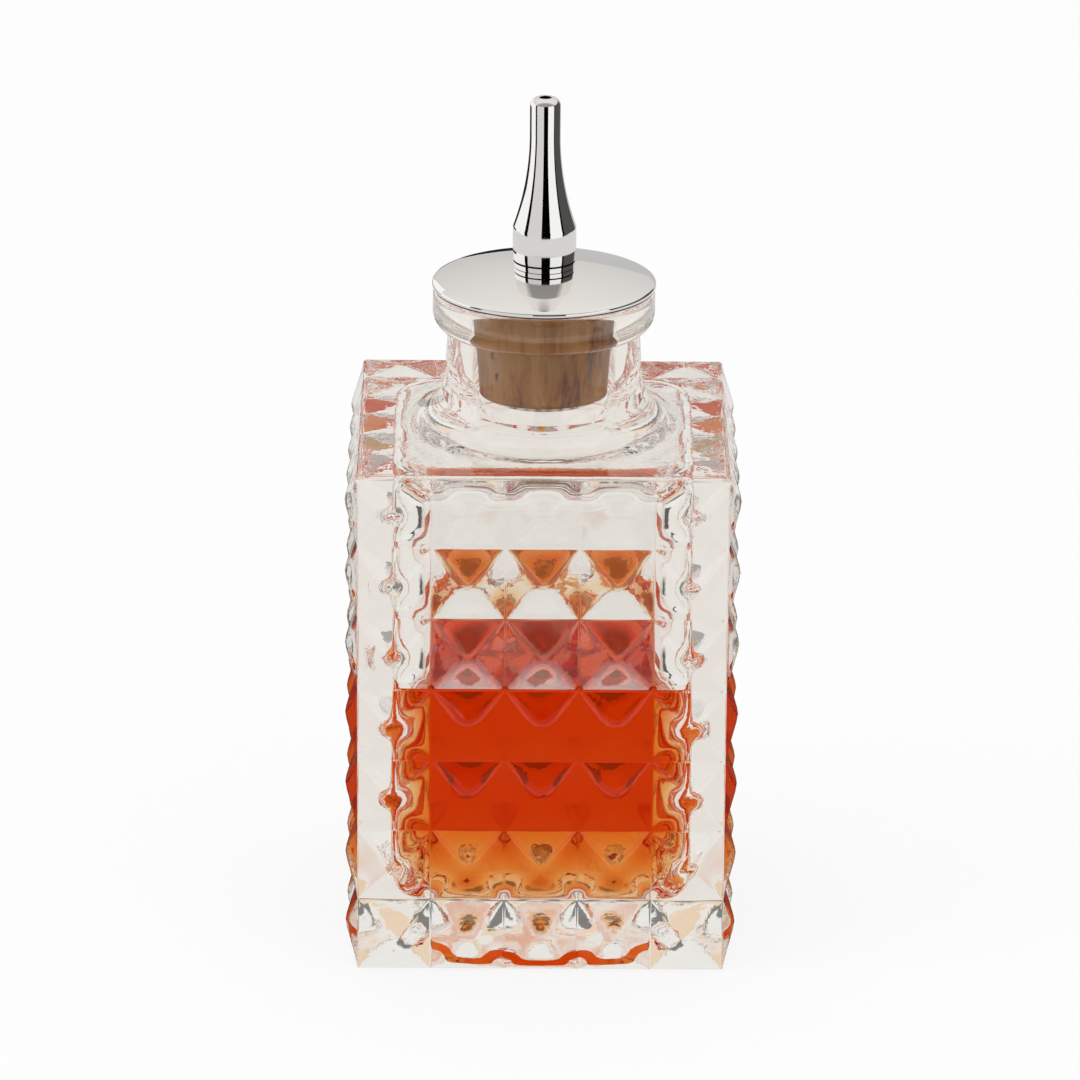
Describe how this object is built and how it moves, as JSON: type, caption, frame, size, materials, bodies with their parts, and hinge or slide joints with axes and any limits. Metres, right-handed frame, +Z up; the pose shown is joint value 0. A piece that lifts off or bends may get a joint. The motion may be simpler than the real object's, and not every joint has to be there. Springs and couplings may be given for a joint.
{
  "type": "bitters bottle",
  "caption": "Square pressed-glass dasher bottle with a diamond-point pattern, part filled, closed by a cork that carries a domed metal plate and a narrow pouring spout.",
  "frame": {"origin": "centre of the base, on the plane that the bottle stands on", "axes": "+Z up along the neck and the spout; +X and +Y square to the sides of the body, -Y towards the viewer"},
  "size_m": [0.0644, 0.0644, 0.1404],
  "materials": {
    "clear_glass": "clear pressed glass, polished",
    "bitters": "clear amber-red liquid",
    "cork": "natural cork, sanded",
    "polished_chrome": "mirror polished",
    "steel": "turned"
  },
  "bodies": {
    "bottle": {"glass_bottle": "clear_glass", "bitters": "bitters"},
    "stopper": {"cork": "cork", "cap_plate": "polished_chrome", "spout": "polished_chrome", "feed_tube": "steel", "retaining_washer": "steel"}
  },
  "joints": [
    {"name": "stopper_lift", "type": "slide", "parent": "bottle", "child": "stopper", "axis": [0, 0, 1], "range_m": [0, 0.03]}
  ]
}
